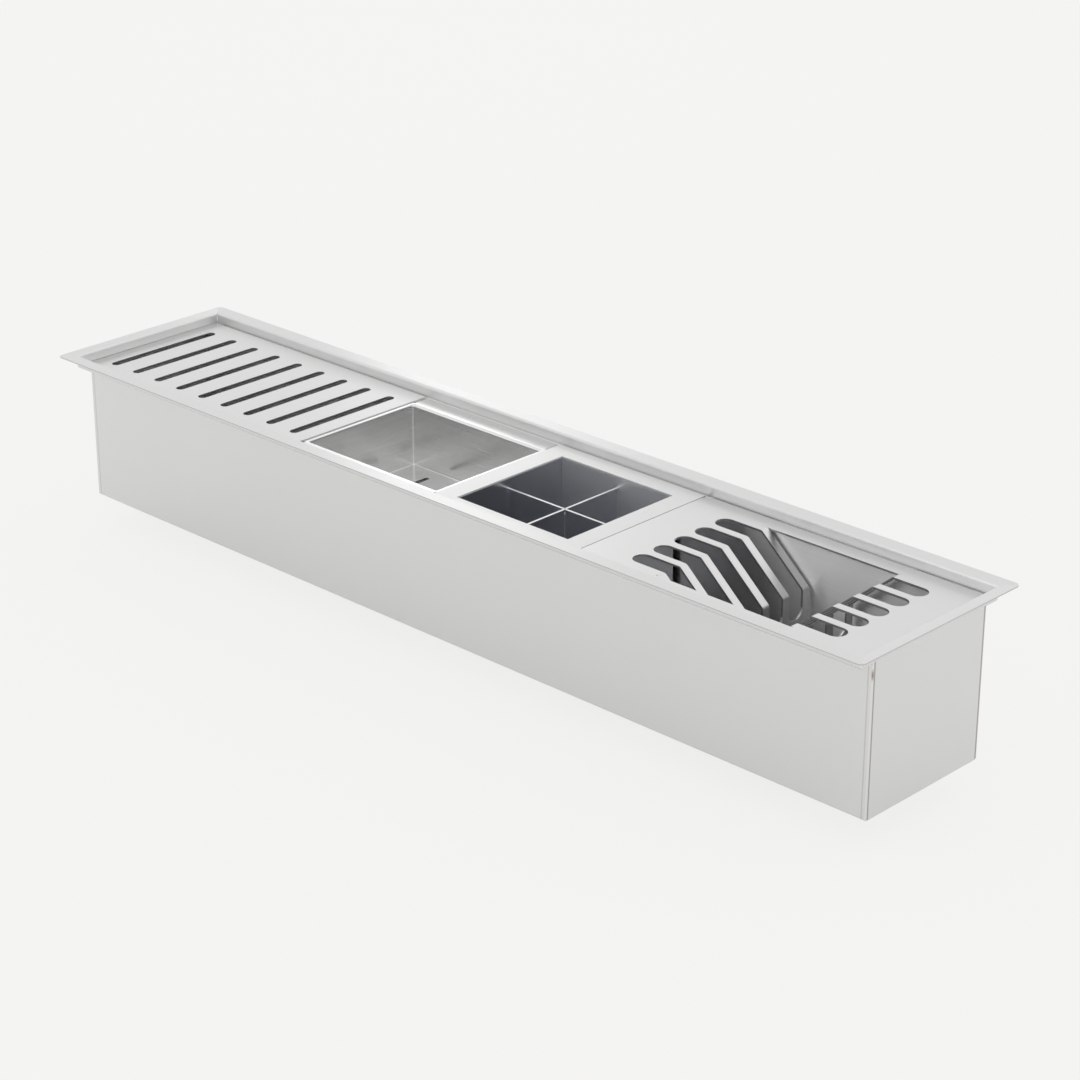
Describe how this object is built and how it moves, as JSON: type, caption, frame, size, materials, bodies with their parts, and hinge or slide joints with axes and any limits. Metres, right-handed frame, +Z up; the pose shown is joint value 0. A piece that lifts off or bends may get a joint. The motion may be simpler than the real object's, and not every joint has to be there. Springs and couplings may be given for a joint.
{
  "type": "countertop wet trough",
  "caption": "Long stainless sink trough that hangs in a worktop cut-out, with a lift-out slotted grate, bin, cutlery holder and dish rack on its inner ledge.",
  "frame": {"origin": "middle of the worktop cut-out, on the worktop surface, which is the plane of the flange underside", "axes": "+X along the trough towards the dish rack, +Y to the back, +Z up"},
  "size_m": [1, 0.208, 0.1817],
  "materials": {
    "trough_steel": "satin sheet, brushed along the trough",
    "weld_steel": "ground weld with a straw heat tint",
    "plate_steel": "satin plate",
    "bin_steel": "brushed sheet",
    "box_steel": "brushed sheet",
    "waste_steel": "polished",
    "seal_rubber": "matt",
    "nut_plastic": "matt"
  },
  "bodies": {
    "trough": {"trough_channel": "trough_steel", "left_end_panel": "trough_steel", "right_end_panel": "trough_steel", "left_end_weld": "weld_steel", "right_end_weld": "weld_steel", "drain_body": "waste_steel", "drain_gasket": "seal_rubber", "drain_locknut": "nut_plastic"},
    "strainer": {"strainer_basket": "waste_steel", "strainer_knob": "waste_steel"},
    "grate": {"grate_plate": "plate_steel"},
    "bin": {"bin_tub": "bin_steel"},
    "cutlery_holder": {"cutlery_plate": "plate_steel", "cutlery_shell": "box_steel", "cutlery_left_wall": "box_steel", "cutlery_right_wall": "box_steel", "divider_long": "box_steel", "divider_cross": "box_steel"},
    "dish_rack": {"rack_left_comb": "plate_steel", "rack_right_comb": "plate_steel", "rack_front_rail": "plate_steel", "rack_back_rail": "plate_steel"}
  },
  "joints": [
    {"name": "grate_lift", "type": "slide", "parent": "trough", "child": "grate", "axis": [0, 0, 1], "range_m": [0, 0.06]},
    {"name": "bin_lift", "type": "slide", "parent": "trough", "child": "bin", "axis": [0, 0, 1], "range_m": [0, 0.1]},
    {"name": "cutlery_lift", "type": "slide", "parent": "trough", "child": "cutlery_holder", "axis": [0, 0, 1], "range_m": [0, 0.14]},
    {"name": "rack_lift", "type": "slide", "parent": "trough", "child": "dish_rack", "axis": [0, 0, 1], "range_m": [0, 0.12]},
    {"name": "strainer_lift", "type": "slide", "parent": "trough", "child": "strainer", "axis": [0, 0, 1], "range_m": [0, 0.19]}
  ]
}
